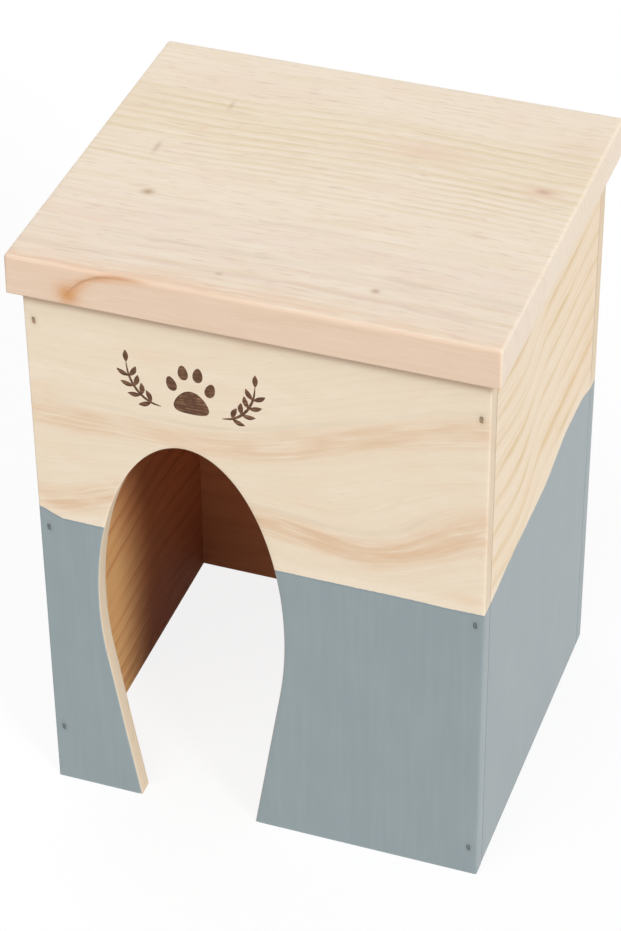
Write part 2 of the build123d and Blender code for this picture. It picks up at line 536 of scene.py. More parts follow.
rightWood = {
    "axes": (1, 2, 0),
    "face": 80.0,
    "seed": 21.0,
    "early": colour(245, 228, 206),
    "late": colour(228, 203, 163),
    "blush": colour(240, 212, 182),
    "rises": [(-64, -36, -3.0), (-32, -2, 9.0), (18, 60, 1.5)],
    "slant": -1.2,
    "wander": 2.2,
    "bend": 0.04,
    "rings": [
        (11.6, 0.8, 0.9, 0.45, 0.86),
        (11.6, 4.4, 0.3, 0.6, 0.9),
        (3.9, 1.2, 0.3, 0.5, 0.88),
    ],
    "bands": [(137.0, 2.6, 0.6, colour(231, 200, 160))],
    "spots": [(60.0, 170.0, 26.0, 60.0, 0.25)],
    "pales": [(-14.0, 170.0, 9.0, 50.0, 0.55)],
    "paintLevel": 120.0,
    "paintRises": [(-62, -40, 1.2), (0, 30, 4.6), (48, 66, -3.6)],
    "shine": 0.3,
    "insideShade": 0.9,
    "insideLowShade": 0.6,
    "joint": ("along", 62.5),
    "roofShadow": 213.0,
}

leftWood = dict(
    rightWood,
    face=-80.0,
    seed=33.0,
    rises=[(-60, 10, 4), (20, 70, -5)],
    rings=[
        (7.6, 0.8, 0.85, 0.35, 0.84),
        (3.1, 1.4, 0.5, 0.4, 0.88),
    ],
    paintLevel=125.9,
    paintRises=[(-60, -35, -5.0), (0, 25, 3.5), (40, 62, -2.9)],
    insideLowShade=0.85,
    paintedDoorLight=(-22.0, 13.0),  # painted light, warm and pale, from the doorway to the first, gone at the second
    shine=0.15,
)

roofWood = {
    "axes": (0, 1, 2),
    "face": 231.0,
    "seed": 41.0,
    "early": colour(237, 223, 205),
    "late": colour(221, 201, 164),
    "blush": colour(232, 206, 185),
    "rises": [(-60, 20, 3.0), (30, 84, -1.5)],
    "slant": 1.0,
    "wander": 1.9,
    "bend": 0.05,
    "rings": [
        (4.7, 1.0, 0.72, 0.25, 0.8, 8, 20, 40, 50),
        (3.4, 0.4, 0.6, 0.3, 0.8, -14, -4, 12, 20),
        (6.1, 2.0, 0.22, 0.3, 0.8, -80, -76, -20, -4),
        (3.1, 1.0, 0.14, 0.3, 0.8, 38, 52, 90, 99),
    ],
    "bands": [
        (28.0, 15.0, 0.45, colour(229, 212, 180)),
        (-50.0, 1.5, 0.5, colour(208, 192, 176), -70, -40, 90, 99),
        (-54.0, 3.0, 0.3, colour(224, 203, 188)),
        (-62.5, 1.7, 0.55, colour(212, 187, 168)),
        (-72.0, 5.0, 0.8, colour(231, 198, 170), -99, -90, -30, 30),
        (-73.0, 4.0, 0.6, colour(231, 198, 172)),
        (-30.0, 1.5, 0.35, colour(211, 193, 172), -60, -30, 10, 30),
        (-40.0, 12.0, 0.45, colour(232, 210, 198)),
        (-64.0, 7.0, 0.35, colour(232, 209, 194)),
    ],
    "flecks": (0.62, colour(214, 191, 173)),
    "knots": [
        (-53.5, -23.0, 2.1, 1.7, 0.65),
        (-61.0, 4.0, 1.0, 3.6, 0.36),
        (-46.5, 37.5, 0.8, 3.2, 0.28),
        (71.0, 18.5, 2.8, 1.5, 0.42),
        (36.5, -54.5, 1.4, 1.3, 0.55),
        (-14.0, -61.0, 1.1, 1.0, 0.35),
    ],
    "spots": [
        (27.0, 30.0, 13.0, 5.5, 0.8),
        (-50.5, 20.5, 1.4, 3.4, 0.7),
        (71.0, 18.0, 6.0, 3.2, 0.85),
        (-48.0, 51.0, 26.0, 7.0, 0.3),
        (75.0, 48.0, 9.0, 8.0, 0.4),
        (-66.0, -44.0, 12.0, 0.9, 0.7),
    ],
    "rubbed": 0.08,
    "endTone": colour(248, 234, 219),
    "endRings": 0.2,
    "rim": {  # the upright faces, and the streak of a knot that curves up the front one
        "tone": colour(228, 200, 176),
        "late": colour(219, 188, 162),
        "pale": colour(238, 214, 192),
        "streak": colour(216, 164, 118),
        "knot": colour(212, 154, 102),
        "vein": colour(176, 124, 86),
        "start": -65,
        "length": 25,
        "foot": -15,
        "height": 14,
        "stretch": (-66, -59, -48, -30),
        "knotPlace": (-62.2, -11.0),
        "knotHalf": (3.8, 4.2),
        "edge": (71.8, 72.6),  # across the board, where its top turns into its rim; the rim's peach starts on the rounded edge, partly its own tone and partly painted shade over that edge's highlight
        "frontEdge": (71.5, 72.7),
    },
}

battenWood = {
    "axes": (1, 0, 2),
    "face": 206.0,
    "seed": 52.0,
    "early": rightWood["early"],
    "late": rightWood["late"],
    "blush": rightWood["blush"],
    "rises": [],
    "slant": -1.2,
    "wander": 2.2,
    "bend": 0.04,
    "rings": [(3.4, 0.5, 0.6, 0.4, 0.9)],
}

# Clouds of noise in the wood: length along the grain, width, depth through the board, detail and seed
clouds = {
    "wander": (70, 34, 34, 1.0, 0),  # how the rings stray
    "quiver": (14, 8, 8, 1.0, 2),
    "patch": (38, 12, 20, 2.0, 5),  # where they come and go
    "blotch": (18, 3.5, 6, 2.0, 7),
    "strand": (48, 1.5, 3, 2.0, 9),  # fibres, from strands to single ones
    "coarse": (22, 0.8, 0.8, 2.0, 12),
    "fine": (7, 0.28, 0.28, 2.0, 14),
    "fleck": (9, 1.3, 2, 2.0, 40),
    "duct": (4, 0.4, 0.4, 0.0, 31),
    "warm": (30, 12, 12, 2.0, 20),
    "pale": (22, 10, 10, 2.0, 25),
    "mottle": (22, 30, 22, 2.0, 0),  # in the paint
    "brushed": (2.5, 45, 2.5, 2.0, 3),
    "stipple": (0.8, 0.8, 0.8, 2.0, 0),
}

# What all the pine has in common. A share that goes with a cloud has its name.
pine = {
    "wander": 2.0,  # shares of a look's wander
    "quiver": 0.7,
    "ringEnd": 0.02,  # share of a ring's pitch over which late wood ends
    "fibres": {"strand": (0.0, 0.45), "coarse": (0.0, 0.45), "fine": (0.03, 0.3)},  # start and share
    "warm": 0.4,
    "pale": 0.35,
    "duct": 0.35,
    "ends": 0.6,  # share of the end grain's own colour
    "endPitch": 2.6,
    "fibreRelief": 0.05,
    "ringRelief": 0.04,
    "roughness": 0.74,
}

# Inside faces, painted with shade: a tone deeper than the outside's pine
insideShade = {
    "fade": (146, 215),  # heights over which it turns into the outside's colour
    "faded": 0.85,
    "low": (4, 62),  # heights over which its deepest painted shade ends
    "doorLightHeights": (50, 110),  # heights over which the painted light from the doorway gets narrower
    "doorLightNarrower": 14,
    "doorLightStray": 16,  # how far its edge strays
}

# Marks on the boards
marks = {
    "rubbedReach": (0.1, 1.2),  # distances from an edge over which its rubbed, paler wood ends
    "roofShadow": (1.7, 0.52),  # half width and share of the shadow line painted under the roof
    "seamReach": (0.5, 0.15),  # before the next board, where the seam's shade starts and is full
    "paintedShade": 0.6,
    "dentAndShade": (1.3, 2.2, 0.22, 0.12),  # round a brad: half width, half height, share of darker wood (partly crushed fibres, partly painted shade in the hollow) and depth
    "cutPale": 0.55,
    "cutRidges": (0.7, 12, 0.25, 0.12),  # pitch along the cut and through it, share and height
    "cutScorch": (7, 2.5),  # pitches
}

coat = {  # the paint
    "softness": 0.12,  # of its masked edge
    "creep": (20, 1.2),  # pitch and reach of that edge's slow wander
    "tooth": (1.5, 0.5),  # and of its raggedness
    "uneven": 0.22,  # shares of its paler and darker tones
    "fibres": 0.14,
    "rim": 0.25,
    "rimPlace": (-0.45, 0.4),  # middle and half width, from the paint's edge
    "above": (1.8, 2.2),  # the same of the pale strip of wood over it
    "paler": 0.3,
    "rubbed": 0.2,
    "fills": 0.65,  # share of the wood's relief
    "thick": 0.06,
    "rimThick": 0.04,
    "stippleThick": 0.03,
    "roughness": 0.38,
}


def riseSum(along, rises):
    # 0, then higher by each rise's height once it is passed
    total = 0.0
    for start, end, height in rises:
        total = along.ease(start, end) * height + total
    return total


def boardCloud(recipe, grain, name, level="level"):
    # a cloud that is drawn out along the rings, or along the board itself when level is "across"
    length, width, depth, detail, offset = clouds[name]
    x, y, z = grain["along"] / length, grain[level] / width, grain["deep"] / depth
    return recipe.cloud(x, y, z, detail, grain["seed"] + offset)


def pineGrain(recipe, look):
    # Rings are level lines of: place across the board - rises along it + slope through it + slow noise.
    places = recipe.place()
    along, across, deep = (places[index] for index in look["axes"])
    deep = deep - look["face"]
    grain = {"places": places, "along": along, "across": across, "deep": deep, "seed": look["seed"]}
    rise = riseSum(along, look["rises"])
    if "lowRises" in look:
        lowRise = riseSum(along, look["lowRises"])
        rise = lowRise + (rise - lowRise) * across.ease(*look["blend"])
    level = across - rise + deep * look["slant"] + deep * deep * look["bend"]
    for name in ("wander", "quiver"):
        level = level + boardCloud(recipe, grain, name, "across") * look["wander"] * pine[name]
    grain["level"] = level
    for name in ("patch", "blotch", "strand", "coarse", "fine"):
        grain[name] = boardCloud(recipe, grain, name)

    # Late wood comes on slowly in each ring and ends sharply; its strength comes and goes
    late = 0.0
    for pitch, offset, strength, start, full, *zone in look["rings"]:
        turn = ((level - offset) / pitch).fraction()
        ring = turn.between(start, full, full + pine["ringEnd"], 1.0) * strength
        if zone:
            ring = ring * across.between(*zone)
        late = ring * (0.7 + grain["patch"] * 2.4).most(0.05) + late
    grain["late"] = late
    return grain


def patchShare(grain, spot):
    # a soft oval: place along and across, half length, half width and strength
    along, across, length, width, strength = spot
    return grain["along"].hump(along, length) * grain["across"].hump(across, width) * strength


def pineColour(recipe, look, grain):
    # early wood, then rings, bands, patches, fibres, resin ducts and knots, one over the other
    along, level = grain["along"], grain["level"]
    tone = recipe.mix(grain["late"].least(1.0), look["early"], look["late"])
    uneven = 0.72 + grain["blotch"] * 2.2 + grain["strand"] * 1.9 + grain["coarse"] * 1.2
    for middle, width, strength, bandTone, *stretch in look.get("bands", []):
        share = (level + grain["coarse"] * 1.5).hump(middle, width) * uneven.most(0.0) * strength
        if stretch:
            share = share * along.between(*stretch)
        tone = recipe.mix(share.least(1.0), tone, bandTone)
    for name, other in (("warm", look["blush"]), ("pale", palette["sunned"])):
        share = boardCloud(recipe, grain, name, "across").ease(0.0, 0.35) * pine[name]
        tone = recipe.mix(share, tone, other)
    for kind, other in (("spots", look["blush"]), ("pales", look["early"])):
        for spot in look.get(kind, []):
            tone = recipe.mix(patchShare(grain, spot), tone, other)
    for name, (start, share) in pine["fibres"].items():
        tone = recipe.mix(grain[name].ease(start, 0.35) * share, tone, look["late"])
    if "flecks" in look:
        share, fleckTone = look["flecks"]
        fleck = boardCloud(recipe, grain, "fleck").ease(0.03, 0.3)
        tone = recipe.mix(fleck * share, tone, fleckTone)
    duct = boardCloud(recipe, grain, "duct").ease(0.29, 0.35)
    tone = recipe.mix(duct * pine["duct"], tone, palette["resin"])
    for knot in look.get("knots", []):
        tone = recipe.mix(patchShare(grain, knot), tone, palette["knot"])
    return tone


def endGrain(recipe, look, grain, tone):
    # faces that look along the grain: paler, with late wood in lines
    normal = recipe.make("ShaderNodeTexCoord", output="Normal")
    split = recipe.make("ShaderNodeSeparateXYZ", {}, {0: normal})
    ends = abs(split.output("XYZ"[look["axes"][0]])).ease(0.6, 0.9)
    tone = recipe.mix(ends * pine["ends"], tone, look.get("endTone", palette["endGrain"]))
    turn = (grain["level"] / pine["endPitch"] + grain["blotch"] * 1.2).fraction()
    lines = ends * turn.between(0.2, 0.85, 0.9, 1.0) * (0.6 + grain["patch"] * 3).most(0.1)
    return recipe.mix(lines * look.get("endRings", 0.45), tone, look["late"])


def paintedInsideShade(recipe, look, grain, tone):
    # painted shade: a deeper tone, deeper still near the ground, and paler upwards where the daylight gets
    # in from above; painted light where it gets in below at the doorway
    along, across = grain["along"], grain["across"]
    inner = (0 - recipe.attribute("faceSide")).most(0.0)
    inner = inner * (1 - across.ease(*insideShade["fade"]) * insideShade["faded"])
    streaks = (grain["late"] * 0.7 + grain["strand"].ease(-0.1, 0.35) * 0.4).least(1.0)
    shadedTone = recipe.mix(streaks, palette["insideShade"], palette["insideShadeLate"])
    # painted shade, deeper towards the ground
    low = (1 - across.ease(*insideShade["low"])) * look["insideLowShade"]
    shadedTone = recipe.mix(low, shadedTone, palette["insideLowShade"])
    # painted light on the inside face near the doorway
    if "paintedDoorLight" in look:
        narrower = across.ease(*insideShade["doorLightHeights"]) * insideShade["doorLightNarrower"]
        inwards = along + narrower + grain["blotch"] * insideShade["doorLightStray"]
        doorLight = (1 - inwards.ease(*look["paintedDoorLight"])) * (1.08 - streaks * 0.75)
        shadedTone = recipe.mix(doorLight.least(1.0), shadedTone, palette["doorLightTone"])
    return recipe.mix(inner * look["insideShade"], tone, shadedTone)


def paintLine(recipe, look, grain):
    # the masked top edge of the paint: a level, its rises, and a creep that runs on round the corners
    x, y, z = grain["places"]
    (creepPitch, creepReach), (toothPitch, toothReach) = coat["creep"], coat["tooth"]
    creep = recipe.cloud(x / creepPitch, y / creepPitch, 0.3, 1.0, 40.0) * creepReach
    tooth = recipe.cloud(x / toothPitch, y / toothPitch, 0.1, 2.0, 44.0) * toothReach
    return riseSum(grain["along"], look["paintRises"]) + look["paintLevel"] + creep + tooth


def wallFinish(recipe, look, grain, side, rubbed, tone, height, roughness):
    # a wall: the painted shade of its inside face, a shadow line painted under the roof, painted shade in
    # the seams of the joints, and paint up to a line
    tone = paintedInsideShade(recipe, look, grain, tone)
    across, outside = grain["across"], side.ease(0.4, 0.6)
    # a shadow line painted under the roof's edge, where its shade falls on the wall
    width, share = marks["roofShadow"]
    tone = recipe.mix(across.hump(look["roofShadow"], width) * outside * share, tone, palette["paintedShade"])
    # painted shade along the seam where the next board begins
    (way, reach), (starts, full) = look["joint"], marks["seamReach"]
    paintedShade = abs(grain[way]).ease(reach - starts, reach - full) * outside * marks["paintedShade"]
    tone = recipe.mix(paintedShade, tone, palette["paintedShade"])

    over = across - paintLine(recipe, look, grain)
    tone = recipe.mix(over.hump(*coat["above"]) * outside * coat["paler"], tone, palette["sunned"])
    covered = (1 - over.ease(-coat["softness"], coat["softness"])) * outside
    brushed = boardCloud(recipe, grain, "brushed", "across")
    uneven = (boardCloud(recipe, grain, "mottle", "across") + brushed).ease(-0.3, 0.45)
    rim = over.hump(*coat["rimPlace"])
    paint = palette["paint"]
    for share, other in (
        (uneven * coat["uneven"], "paintWorn"),
        (grain["fine"].ease(0.05, 0.4) * coat["fibres"], "paintDark"),
        (rubbed * coat["rubbed"], "paintWorn"),
        # the painted seam shade, on the paint too
        (paintedShade, "paintDark"),
        (rim * coat["rim"], "paintDark"),
    ):
        paint = recipe.mix(share, paint, palette[other])
    stipple = boardCloud(recipe, grain, "stipple", "across")
    thick = stipple * coat["stippleThick"] + coat["thick"] + rim * coat["rimThick"]
    height = height * (1 - covered * coat["fills"]) + covered * thick
    roughness = roughness * (1 - covered) + covered * (coat["roughness"] + stipple * 0.1)
    return recipe.mix(covered, tone, paint), height, roughness


def cutEdge(recipe, look, grain, tone, height):
    # the doorway's cut edge: cutter marks across it, here and there a little scorched
    cut, way, deep = recipe.attribute("cutShare"), recipe.attribute("cutWay"), grain["deep"]
    (pitch, through, share, depth), scorched = marks["cutRidges"], marks["cutScorch"]
    ridge = recipe.cloud(way / pitch, deep / through, 0.0, 2.0, 5.0)
    scorch = recipe.cloud(way / scorched[0], deep / scorched[1], 0.0, 2.0, 9.0).ease(0.05, 0.4)
    tone = recipe.mix(cut * marks["cutPale"], tone, palette["cutEdge"])
    tone = recipe.mix(cut * ridge.ease(-0.1, 0.4) * share, tone, look["late"])
    tone = recipe.mix(cut * scorch * look["scorch"], tone, palette["knot"])
    return tone, height + cut * ridge * depth


def woodMaterial(name, look):
    # Height of the surface in millimetres = fibres and rings, less what the paint fills, plus its rim.
    material, recipe = newMaterial(name)
    grain, side = pineGrain(recipe, look), recipe.attribute("faceSide")
    tone = pineColour(recipe, look, grain)
    if "rim" in look:
        tone = roofRim(recipe, look["rim"], grain, tone)
    tone = endGrain(recipe, look, grain, tone)
    edge = 1 - recipe.attribute("edgeGap").ease(*marks["rubbedReach"])
    rubbed = edge * (0.5 + grain["coarse"]).ease(0.3, 0.75)
    tone = recipe.mix(rubbed * look.get("rubbed", 0.3), tone, palette["sunned"])
    height = (grain["coarse"] + grain["fine"]) * pine["fibreRelief"]
    height = height + (grain["strand"] + grain["late"]) * pine["ringRelief"]
    roughness = pine["roughness"] + grain["coarse"] * 0.25 - grain["late"] * 0.06
    if "paintLevel" in look:
        finish = wallFinish(recipe, look, grain, side, rubbed, tone, height, roughness)
        tone, height, roughness = finish
    width, upright, share, depth = marks["dentAndShade"]
    # a dent round each brad, its wood darker: partly crushed fibres, partly painted shade in the hollow
    for x, z in look.get("brads", []):
        dentAndShade = grain["along"].hump(x, width) * grain["across"].hump(z, upright) * abs(side)
        tone = recipe.mix(dentAndShade * share, tone, palette["dentAndShade"])
        height = height - dentAndShade * depth
    if "scorch" in look:
        tone, height = cutEdge(recipe, look, grain, tone, height)
    recipe.finish(tone, roughness, height, {"Specular IOR Level": look.get("shine", 0.1)})
    return material


def roofRim(recipe, rim, grain, tone):
    # The roof's upright faces: peach wood, with a knot's streak that curves up the front one. Its middle
    # line is at foot + height (1 - (1 - u)^3) from the roof's top, with u from 0 to 1 over its length.
    along, across, down = grain["along"], grain["across"], grain["deep"]
    # the rim's peach reaches onto the rounded top edge: the rim's own tone, and painted shade over that
    # edge's highlight
    upright = recipe.attribute("faceSide").ease(0.3, 0.7) * abs(across).ease(*rim["edge"])
    wood = recipe.mix(grain["strand"].ease(-0.05, 0.3) * 0.6, rim["tone"], rim["late"])
    wood = recipe.mix(grain["coarse"].ease(0.0, 0.3) * 0.6, wood, rim["pale"])
    tone = recipe.mix(upright * 0.85, tone, wood)
    stray = grain["coarse"] * 2.4 + grain["strand"] * 2.6
    front = (0 - across).ease(*rim["frontEdge"])
    ahead = 1 - ((along - rim["start"]) / rim["length"]).most(0.0).least(1.0)
    middle = rim["foot"] + rim["height"] * (1 - ahead ** 3)
    streak = (down + stray).hump(middle - ahead * 0.8, 1.3 + ahead * ahead * 2.6)
    streak = streak * along.between(*rim["stretch"]) * front
    tone = recipe.mix(streak * 0.62, tone, rim["streak"])
    (x, z), (length, width) = rim["knotPlace"], rim["knotHalf"]
    knot = (along + stray * 0.5).hump(x, length) * (down + stray).hump(z, width) * front
    tone = recipe.mix(knot * 0.9, tone, rim["knot"])
    vein = (down + grain["coarse"]).hump(middle + 0.3, 0.6) * streak * (1 - ahead * 0.4)
    return recipe.mix(vein * 0.7, tone, rim["vein"])


def bradPlaces(side):
    # places of the brads' heads in one face, read from their nodes
    boxes = [box for way in ("left", "right") for box in bradBoxes(side + "_nails_" + way, 2)]
    return [tuple(float(value) for value in (low + high)[[0, 2]] / 2) for low, high in boxes]


frontWood.update(brads=bradPlaces("front"), scorch=0.2)  # share of scorch on the doorway's cut edge
backWood.update(brads=bradPlaces("back"))
materials = {
    "front": woodMaterial("frontPine", frontWood),
    "back": woodMaterial("backPine", backWood),
    "left": woodMaterial("leftPine", leftWood),
    "right": woodMaterial("rightPine", rightWood),
    "roof": woodMaterial("roofPine", roofWood),
    "batten": woodMaterial("battenPine", battenWood),
}
print("materials: pine for the walls, painted below, and for the roof and its battens")


# Front board with its doorway
doorway = {
    "centre": -25.3,
    "halfWidth": 34.2,
    "rise": 74.6,
    "widest": 88.7,
    "foot": 44.0,
    "rim": 0.5,  # sanded rim
    "bareReach": 1.5,  # beside it the paint ends where the rounding starts
    "cutReach": 0.6,
    "legShare": 0.3,  # share of the curve's points in each straight leg
    "counts": (110, 90, 110),  # grid lines up the left leg, over the top and down the right leg
    "corners": (0.0, 0.44, 0.60, 1.0),  # shares of the curve that face the board's corners
    "acrossLines": 40,
    "roundLines": 5,
    "samples": 400,  # for distances to the rim
    "sawWave": 0.12,
}


def doorwayCurve(share):
    # From the left foot up over the crown to the right foot. Above the points where lines from the feet
    # touch the ellipse it is the ellipse; below them it is those lines. share goes from 0 to 1.
    a, b, zc = doorway["halfWidth"], doorway["rise"], doorway["widest"]
    foot, legShare = doorway["foot"] / 2, doorway["legShare"]
    across, down = foot / a, -zc / b
    touch = np.arctan2(down, across) + np.arccos(1 / np.hypot(across, down))
    angle = pi - touch - (share - legShare) / (1 - 2 * legShare) * (pi - 2 * touch)
    leg = np.minimum(share, 1 - share) / legShare  # from 0 at a foot to 1 where its line ends
    legX = np.sign(share - 0.5) * (foot + (a * cos(touch) - foot) * leg)
    x = np.where(leg < 1, legX, a * np.cos(angle))
    z = np.where(leg < 1, (zc + b * sin(touch)) * leg, zc + b * np.sin(angle))
    return np.stack([x + doorway["centre"], z], -1)


def frontSurface(low, high):
    # A profile carried along a path. The path runs up the left leg, over the top and down the right leg,
    # with the doorway on one hand and the board's outline on the other. The profile goes over the front
    # face, round the outer edge, back over the inside face and round the doorway's rim.
    counts, ends = doorway["counts"], doorway["corners"]
    legs = [np.linspace(ends[k], ends[k + 1], counts[k], endpoint=False) for k in range(3)]
    rim = doorwayCurve(np.append(np.concatenate(legs), 1.0))
    tangent = np.gradient(rim, axis=0)
    tangent /= np.linalg.norm(tangent, axis=1, keepdims=True)
    intoWood = np.stack([-tangent[:, 1], tangent[:, 0]], -1)
    waves = waver(np.stack([rim[:, 0], rim[:, 1], rim[:, 1]], -1), 4)
    rim = rim + intoWood * (doorway["sawWave"] * waves)[:, None]
    up = np.linspace(low[2], high[2], counts[0], endpoint=False)
    over = np.linspace(low[0], high[0], counts[1], endpoint=False)
    down = np.linspace(high[2], low[2], counts[2] + 1)
    x = np.concatenate([np.full(counts[0], low[0]), over, np.full(counts[2] + 1, high[0])])
    z = np.concatenate([up, np.full(counts[1], high[2]), down])

    def rimAt(inset):
        moved = rim + intoWood * inset
        moved[:, 1] = np.maximum(moved[:, 1], low[2])
        return moved

    def outlineAt(inset):
        return np.stack([np.clip(x, low[0] + inset, high[0] - inset), np.minimum(z, high[2] - inset)], -1)

    rows = []

    def row(flat, depth):
        rows.append(np.stack([flat[:, 0], np.full(len(flat), low[1] + depth), flat[:, 1]], -1))

    def face(shares, depth):
        for part in shares:
            row(rimAt(sanded) * (1 - part) + outlineAt(ease) * part, depth)

    thickness, ease, sanded = high[1] - low[1], boards["ease"], doorway["rim"]
    turns = np.linspace(0, pi / 2, doorway["roundLines"])
    across = np.linspace(0, 1, doorway["acrossLines"])
    face(across, 0.0)
    for turn in turns[1:]:
        row(outlineAt(ease * (1 - sin(turn))), ease * (1 - cos(turn)))
    for turn in turns[:-1]:
        row(outlineAt(ease * (1 - cos(turn))), thickness - ease * (1 - sin(turn)))
    face(across[::-1], thickness)
    for turn in turns[1:]:
        row(rimAt(sanded * (1 - sin(turn))), thickness - sanded * (1 - cos(turn)))
    for depth in np.linspace(thickness - sanded, sanded, doorway["roundLines"])[1:-1]:
        row(rimAt(0.0), depth)
    for turn in turns[:-1]:
        row(rimAt(sanded * (1 - cos(turn))), sanded * (1 - sin(turn)))
    grid = np.stack(rows)  # profile point, path point, place
    number = np.arange(grid[..., 0].size).reshape(grid.shape[:2])
    after = np.roll(number, -1, axis=0)
    quads = np.stack([number[:, :-1], number[:, 1:], after[:, 1:], after[:, :-1]], -1)
    return grid.reshape(-1, 3), quads.reshape(-1, 4)


def frontBoard():
    thing = meshFrom("front_wall_wood", *frontSurface(*millimetres("front_wall")))
    closeShell(thing.data)  # the open ends are the legs' feet
    sinkBrads(thing, ["front_nails_left", "front_nails_right"], 2, (0, -1, 0))

    # each point's distance to the rim and way along it: to the nearest sample, then square to the rim there
    rim = doorwayCurve(np.linspace(0, 1, doorway["samples"]))
    ahead = np.gradient(rim, axis=0)
    ahead /= np.linalg.norm(ahead, axis=1, keepdims=True)
    travelled = np.append(0.0, np.cumsum(np.linalg.norm(np.diff(rim, axis=0), axis=1)))
    places, normals = vertexValues(thing)
    apart = places[:, None, [0, 2]] - rim[None]
    nearest = np.linalg.norm(apart, axis=2).argmin(1)
    apart, ahead = apart[np.arange(len(places)), nearest], ahead[nearest]
    along = (apart * ahead).sum(1)
    across = apart[:, 0] * ahead[:, 1] - apart[:, 1] * ahead[:, 0]
    distance = np.hypot(across, np.maximum(np.abs(along) - doorway["bareReach"], 0))
    outwards = [(0, -1, 0), (-1, 0, 0), (1, 0, 0)]
    finishBoard(thing, "house", "front_wall", materials["front"], outwards, distance)
    keepValue(thing, "cutWay", travelled[nearest] + along)
    keepValue(thing, "cutShare", (distance < doorway["cutReach"]) * (np.abs(normals[:, 1]) < 0.8))


frontBoard()
print("front board with its doorway")


def wallBoards():
    for side, seed, outwards in (
        ("back", 2, [(0, 1, 0), (-1, 0, 0), (1, 0, 0)]),
        ("left", 5, [(-1, 0, 0)]),
        ("right", 7, [(1, 0, 0)]),
    ):
        thing = plainBoard(side + "_wall", seed)
        if side == "back":
            sinkBrads(thing, ["back_nails_left", "back_nails_right"], 2, (0, 1, 0))
        finishBoard(thing, "house", side + "_wall", materials[side], outwards)


wallBoards()
print("back and side boards")


def roofEase(points, low, high, seed):
    # wide on top, narrow below, with the upright corners between
    height = np.clip((points[:, 2] - low[2]) / (high[2] - low[2]), 0, 1)
    flat = boards["ease"] + (boards["roofCornerEase"] - boards["ease"]) * height
    upright = np.where(height > 0.5, boards["roofTopEase"], boards["ease"])
    vary = 1 + boards["waver"] * 0.5 * waver(points, seed)
    return np.stack([flat * vary, flat * vary, upright * vary], -1)


def roofBoards():
    outwards = [(0, -1, 0), (0, 1, 0), (-1, 0, 0), (1, 0, 0)]
    thing = plainBoard("roof_board", 9, roofEase)
    finishBoard(thing, "roof", "roof_board", materials["roof"], outwards)
    for side, seed in (("left", 12), ("right", 15)):
        thing = plainBoard("roof_batten_" + side, seed)
        sinkBrads(thing, ["batten_nails_" + side], 1, (0, 0, -1))
        finishBoard(thing, "roof", "roof_batten_" + side, materials["batten"], [])


roofBoards()
print("roof board and its battens")


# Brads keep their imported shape
brads = {
    "rounding": 0.22,
    "segments": 3,
    "dark": colour(150, 127, 102),
    "light": colour(190, 165, 136),
    "painted": colour(88, 107, 116),
    "paintTop": (119, 121),
    "metallic": 0.5,
    "roughness": 0.5,
}


def bradMaterial():
    # dull wire with stains, and paint on what lies below the paint's edge
    material, recipe = newMaterial("bradSteel")
    x, y, z = recipe.place()
    stain = recipe.cloud(x / 0.8, y / 0.8, z / 0.8, 3.0, 2.0)
    tone = recipe.mix(stain.ease(-0.2, 0.3), brads["dark"], brads["light"])
    painted = 1 - z.ease(*brads["paintTop"])
    tone = recipe.mix(painted * 0.85, tone, brads["painted"])
    metallic = brads["metallic"] - painted * 0.4
    recipe.finish(tone, brads["roughness"] + stain * 0.3, stain * 0.03, {"Metallic": metallic})
    return material


# Motif above the doorway, printed in brown: a paw between two sprigs
motif = {
    "centre": (-22.0, 187.5),
    "proud": 0.05,  # height of the ink's middle above the wood
    "pad": {"place": (0.0, -4.2), "half": (6.0, 4.6), "narrower": 0.28, "sag": 0.34, "lines": (24, 18)},
    "toes": [(-6.8, 2.2, 16), (-2.6, 7.4, 5), (2.6, 7.4, -5), (6.8, 2.2, -16)],  # place and lean
    "toeHalf": (1.75, 2.9),
    "toeNarrower": 0.18,  # by this share at its top
    "toeLines": (14, 16),
    "stemStart": (10.5, -8.0),
    "stemEnd": (22.5, 8.0),
    "stemHalf": 0.5,
    "stemTaper": (1.15, 0.85),  # share of that at its start and its tip
    "stemLines": (40, 5),
    "leafShares": (0.2, 0.4, 0.58, 0.75),
    "leafLean": 46,
    "leafHalf": (2.5, 0.95),
    "leafBow": 0.12,
    "leafLines": (20, 9),
    "tipShare": 0.97,
    "ink": colour(88, 58, 41),
    "worn": colour(158, 120, 90),
}


def inkPatch(shape, *lines):
    # A square grid pressed into a disc: (u sqrt(1 - v^2 / 2), v sqrt(1 - u^2 / 2)). shape turns the disc's
    # p and q into places on the front, and the ink is proud * (1 - r^6) high at the disc's radius r.
    u, v = np.meshgrid(*(np.linspace(-1, 1, count) for count in lines), indexing="ij")
    p, q = u * np.sqrt(1 - v * v / 2), v * np.sqrt(1 - u * u / 2)
    x, z = shape(p, q)
    height = motif["proud"] * (1 - np.minimum(p * p + q * q, 1) ** 3)
    face = millimetres("front_wall")[0][1]
    (x0, z0), sides = motif["centre"], []
    for way in (-1, 1):
        sides.append(np.stack([x + x0, face + way * height, z + z0], -1).reshape(-1, 3))
    quads = gridQuads(np.arange(u.size).reshape(u.shape))
    return np.concatenate(sides), np.concatenate([quads, quads[:, ::-1] + u.size])


def padShape(p, q):
    # an oval whose width shrinks as q rises and whose lower edge sinks with the square of p
    pad = motif["pad"]
    (x, z), (width, height) = pad["place"], pad["half"]
    sag = pad["sag"] * height * p * p * (1 - q) / 2
    return x + width * p * (1 - pad["narrower"] * q), z + height * q - sag


def turned(x, z, a, b, turn):
    # the place a along a direction and b to the left of it, counted from x and z
    return x + a * cos(turn) - b * sin(turn), z + a * sin(turn) + b * cos(turn)


